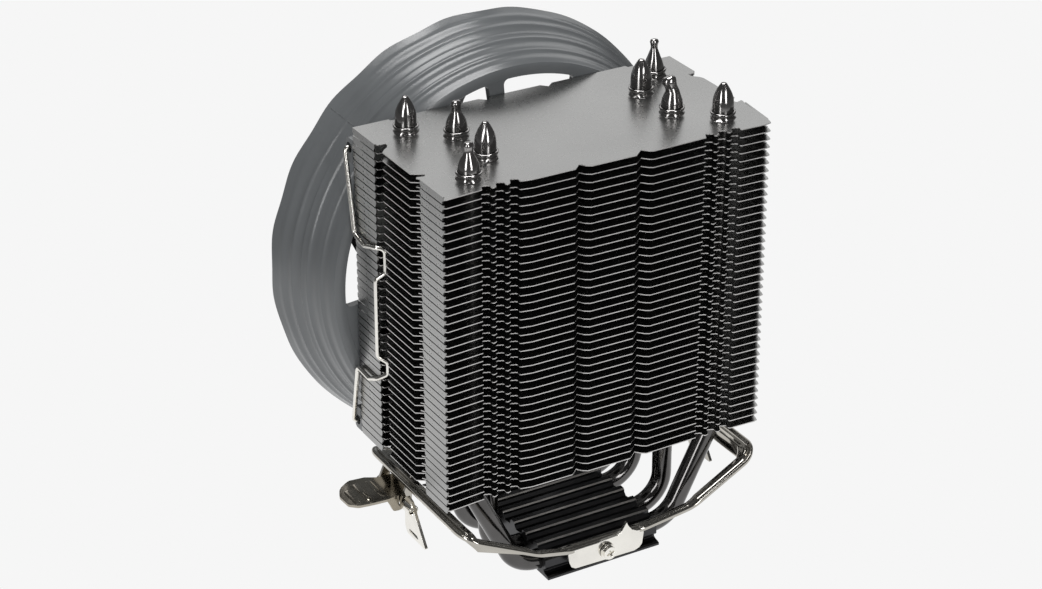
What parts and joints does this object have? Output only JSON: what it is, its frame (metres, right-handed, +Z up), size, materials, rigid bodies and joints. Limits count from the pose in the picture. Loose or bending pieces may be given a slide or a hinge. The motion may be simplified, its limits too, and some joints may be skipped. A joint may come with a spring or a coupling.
{
  "type": "cpu tower cooler",
  "caption": "Tower heatsink: black fins on U-shaped heat pipes, ribbed base, round fan held by wire clips, and a sprung retention frame with a thumb lever and hook.",
  "frame": {"origin": "centre of the base's flat contact face, which sits on the processor", "axes": "+Z up out of the contact face along the tower, +Y towards the fan, -X towards the thumb lever"},
  "size_m": [0.1388, 0.0858, 0.1502],
  "materials": {
    "fin_black": "satin black-nickel fin sheet",
    "black_nickel": "glossy dark nickel plating on the pipes",
    "base_black": "satin black extruded base",
    "fan_plastic": "dark blue-grey moulded plastic",
    "rotor_plastic": "dark moulded plastic",
    "bright_nickel": "bright nickel plating",
    "frame_nickel": "glossy dark nickel plating on spring steel",
    "motor_steel": "plain steel",
    "bearing_brass": "plain brass sleeve",
    "winding_copper": "copper windings",
    "board_green": "circuit board"
  },
  "bodies": {
    "cooler": {"fin_01": "fin_black", "fin_02": "fin_black", "fin_03": "fin_black", "fin_04": "fin_black", "fin_05": "fin_black", "fin_06": "fin_black", "fin_07": "fin_black", "fin_08": "fin_black", "fin_09": "fin_black", "fin_10": "fin_black", "fin_11": "fin_black", "fin_12": "fin_black", "fin_13": "fin_black", "fin_14": "fin_black", "fin_15": "fin_black", "fin_16": "fin_black", "fin_17": "fin_black", "fin_18": "fin_black", "fin_19": "fin_black", "fin_20": "fin_black", "fin_21": "fin_black", "fin_22": "fin_black", "fin_23": "fin_black", "fin_24": "fin_black", "fin_25": "fin_black", "fin_26": "fin_black", "fin_27": "fin_black", "fin_28": "fin_black", "fin_29": "fin_black", "fin_30": "fin_black", "fin_31": "fin_black", "fin_32": "fin_black", "fin_33": "fin_black", "fin_34": "fin_black", "fin_35": "fin_black", "fin_36": "fin_black", "fin_37": "fin_black", "fin_38": "fin_black", "fin_39": "fin_black", "fin_40": "fin_black", "heatpipe_1": "black_nickel", "heatpipe_2": "black_nickel", "heatpipe_3": "black_nickel", "heatpipe_4": "black_nickel", "base_block": "base_black", "screw_front": "bright_nickel", "screw_back": "bright_nickel", "fan_frame": "fan_plastic", "fan_bearing": "bearing_brass", "fan_stator": "winding_copper", "fan_circuit_board": "board_green"},
    "fan": {"fan_rotor": "rotor_plastic", "fan_shaft": "motor_steel", "fan_magnet_ring": "motor_steel"},
    "clip_left": {"fan_clip_left": "bright_nickel"},
    "clip_right": {"fan_clip_right": "bright_nickel"},
    "retention": {"retention_frame": "frame_nickel", "lever_pin": "bright_nickel"},
    "lever": {"lever": "frame_nickel"},
    "hook": {"hook": "bright_nickel"}
  },
  "joints": [
    {"name": "fan_spin", "type": "hinge", "parent": "cooler", "child": "fan", "pos_m": [0, 0.0409, 0.0808], "axis": [0, 1, 0], "continuous": true},
    {"name": "clip_left_swing", "type": "hinge", "parent": "cooler", "child": "clip_left", "pos_m": [-0.053, 0.031, 0.0808], "axis": [0, 0, -1], "range_deg": [0, 20]},
    {"name": "clip_right_swing", "type": "hinge", "parent": "cooler", "child": "clip_right", "pos_m": [0.053, 0.031, 0.0808], "axis": [0, 0, 1], "range_deg": [0, 20]},
    {"name": "retention_tilt", "type": "hinge", "parent": "cooler", "child": "retention", "pos_m": [0, 0, 0.0052], "axis": [0, 1, 0], "range_deg": [-1.5, 1.5]},
    {"name": "lever_tilt", "type": "hinge", "parent": "retention", "child": "lever", "pos_m": [-0.0504, 0.015, 0.0196], "axis": [0, 1, 0], "range_deg": [-25, 45]},
    {"name": "hook_swing", "type": "hinge", "parent": "retention", "child": "hook", "pos_m": [-0.0504, 0.00375, 0.0196], "axis": [0, 1, 0], "range_deg": [-20, 20]}
  ]
}
